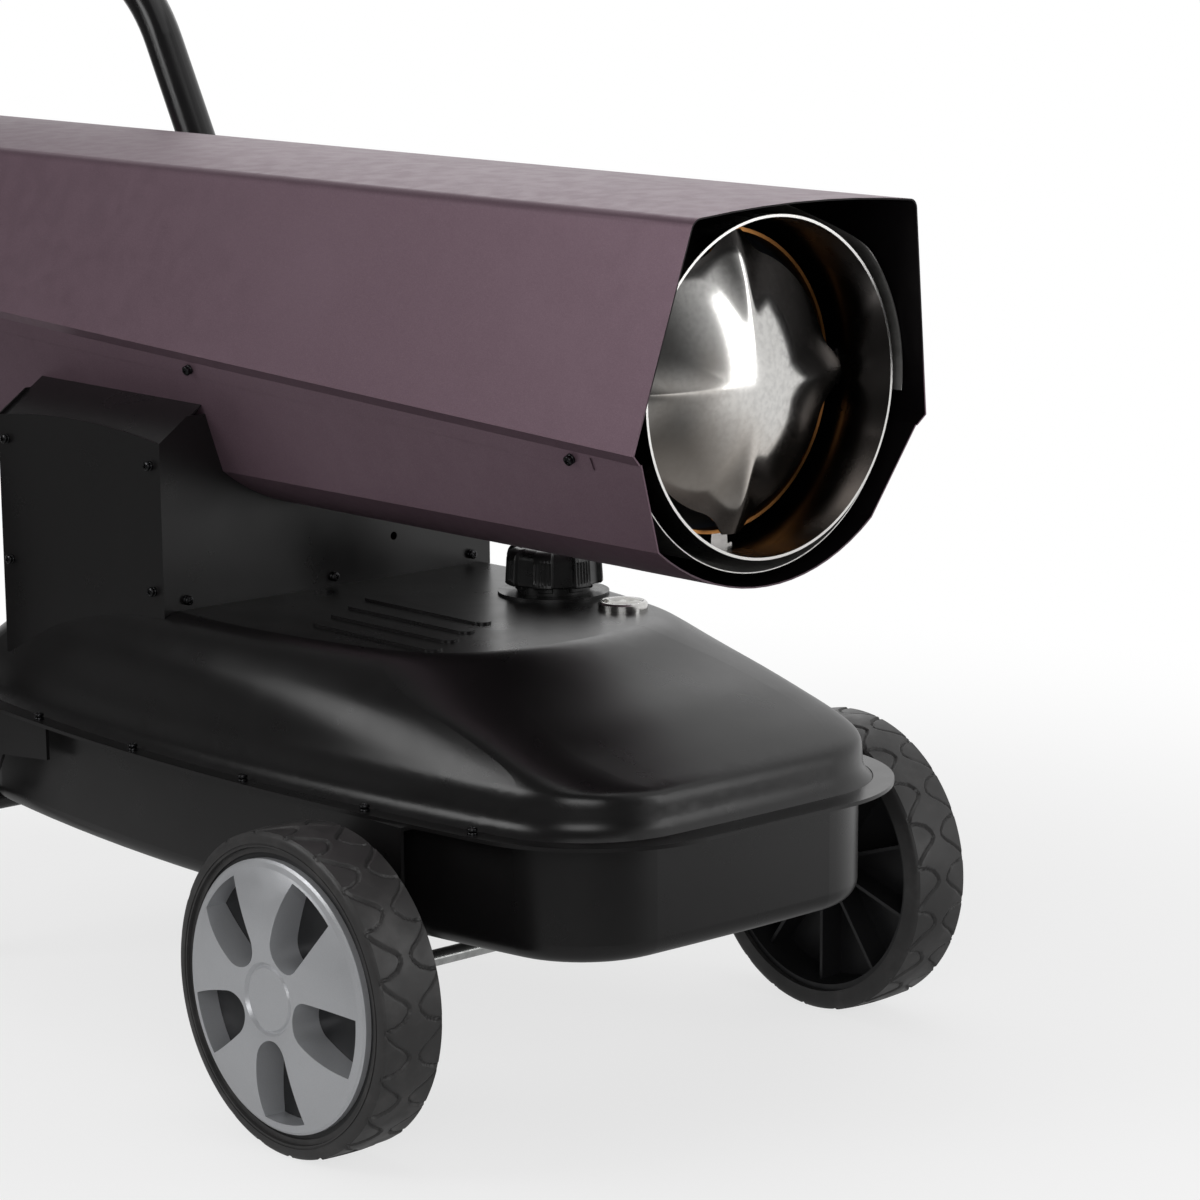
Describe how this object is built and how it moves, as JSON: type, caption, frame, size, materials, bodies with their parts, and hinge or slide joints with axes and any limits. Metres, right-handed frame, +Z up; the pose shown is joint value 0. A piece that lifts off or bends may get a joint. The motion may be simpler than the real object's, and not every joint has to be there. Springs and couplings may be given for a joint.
{
  "type": "forced air heater",
  "caption": "Wheeled oil-fired forced air heater: angular steel casing with a round outlet tube and flame baffle, on a pedestal over a domed fuel tank, with a tube handle and rear leg.",
  "frame": {"origin": "on the ground below the middle of the heater's length and width", "axes": "+X the way the hot air leaves, +Y to the side with the filler and the controls, +Z up"},
  "size_m": [1.1968, 0.6368, 0.8745],
  "materials": {
    "casing_paint": "satin",
    "tank_paint": "satin",
    "tube_paint": "gloss",
    "polished_steel": "polished",
    "tinted_steel": "polished",
    "shield_steel": "satin",
    "zinc_steel": "satin",
    "black_screws": "gloss",
    "guard_wire": "gloss",
    "motor_metal": "satin",
    "fan_metal": "satin",
    "brass_fittings": "satin",
    "line_copper": "satin",
    "rotor_carbon": "satin",
    "porcelain": "gloss",
    "gauge_metal": "polished",
    "gauge_clear": "gloss",
    "float_plastic": "matte",
    "black_plastic": "satin",
    "reset_red": "gloss",
    "transformer_case": "matte",
    "board_green": "satin",
    "foot_rubber": "matte",
    "tyre_rubber": "matte",
    "wheel_black": "satin",
    "wheel_silver": "satin"
  },
  "bodies": {
    "heater": {"upper_shell": "casing_paint", "lower_shell": "casing_paint", "tank_upper_half": "tank_paint", "tank_lower_half": "tank_paint", "pedestal_front": "tank_paint", "pedestal_rear": "tank_paint", "pedestal_side_near": "tank_paint", "pedestal_side_far": "tank_paint", "pedestal_ledges": "tank_paint", "axle_brackets": "tank_paint", "rear_brackets": "tank_paint", "handle_tube": "tube_paint", "rear_leg": "tube_paint", "outlet_tube": "polished_steel", "baffle_brackets": "polished_steel", "flame_baffle": "tinted_steel", "combustion_chamber": "tinted_steel", "upper_heat_shield": "shield_steel", "lower_heat_shield": "shield_steel", "chamber_saddles": "shield_steel", "burner_head": "shield_steel", "nozzle_holder": "shield_steel", "fan_shroud": "shield_steel", "motor_plate": "shield_steel", "axle": "zinc_steel", "axle_spacers": "zinc_steel", "drain_plug": "zinc_steel", "sheet_screws": "black_screws", "tank_screws": "black_screws", "rear_guard": "guard_wire", "motor": "motor_metal", "pump_ring": "motor_metal", "pump_cover": "motor_metal", "fuel_nozzle": "brass_fittings", "burner_lines": "line_copper", "ignition_electrodes": "porcelain", "pressure_gauge": "gauge_metal", "gauge_body": "gauge_metal", "gauge_lens": "gauge_clear", "filler_neck": "black_plastic", "control_bodies": "black_plastic", "cord_gland": "black_plastic", "flame_sensor": "black_plastic", "ignition_transformer": "transformer_case", "control_board": "board_green", "rear_feet": "foot_rubber"},
    "wheel_near": {"tyre_near": "tyre_rubber", "wheel_core_near": "wheel_black", "wheel_cover_near": "wheel_silver"},
    "wheel_far": {"tyre_far": "tyre_rubber", "wheel_core_far": "wheel_black", "wheel_cover_far": "wheel_silver"},
    "fan_rotor": {"fan": "fan_metal", "motor_shaft": "zinc_steel", "pump_rotor": "rotor_carbon"},
    "cap": {"fuel_cap": "black_plastic"},
    "float": {"float_arm": "float_plastic"},
    "knob": {"thermostat_knob": "black_plastic"},
    "rocker": {"power_switch": "black_plastic"},
    "reset": {"reset_button": "reset_red"}
  },
  "joints": [
    {"name": "near_wheel_spin", "type": "hinge", "parent": "heater", "child": "wheel_near", "pos_m": [0.3566, -0.278, 0.125], "axis": [0, 1, 0], "continuous": true},
    {"name": "far_wheel_spin", "type": "hinge", "parent": "heater", "child": "wheel_far", "pos_m": [0.3566, 0.278, 0.125], "axis": [0, 1, 0], "continuous": true},
    {"name": "fan_spin", "type": "hinge", "parent": "heater", "child": "fan_rotor", "pos_m": [-0.2984, 0, 0.567], "axis": [1, 0, 0], "continuous": true},
    {"name": "cap_lift", "type": "slide", "parent": "heater", "child": "cap", "axis": [0, 0, 1], "range_m": [0, 0.045]},
    {"name": "float_swing", "type": "hinge", "parent": "heater", "child": "float", "pos_m": [0.2866, 0.108, 0.3], "axis": [0, 1, 0], "range_deg": [-22, 45]},
    {"name": "knob_turn", "type": "hinge", "parent": "heater", "child": "knob", "pos_m": [-0.0134, 0.172, 0.43], "axis": [0, 1, 0], "range_deg": [0, 270]},
    {"name": "rocker_tip", "type": "hinge", "parent": "heater", "child": "rocker", "pos_m": [-0.0734, 0.172, 0.43], "axis": [0, 0, 1], "range_deg": [0, 16]},
    {"name": "reset_press", "type": "slide", "parent": "heater", "child": "reset", "axis": [0, -1, 0], "range_m": [0, 0.003], "stiffness_N_per_m": 200}
  ]
}
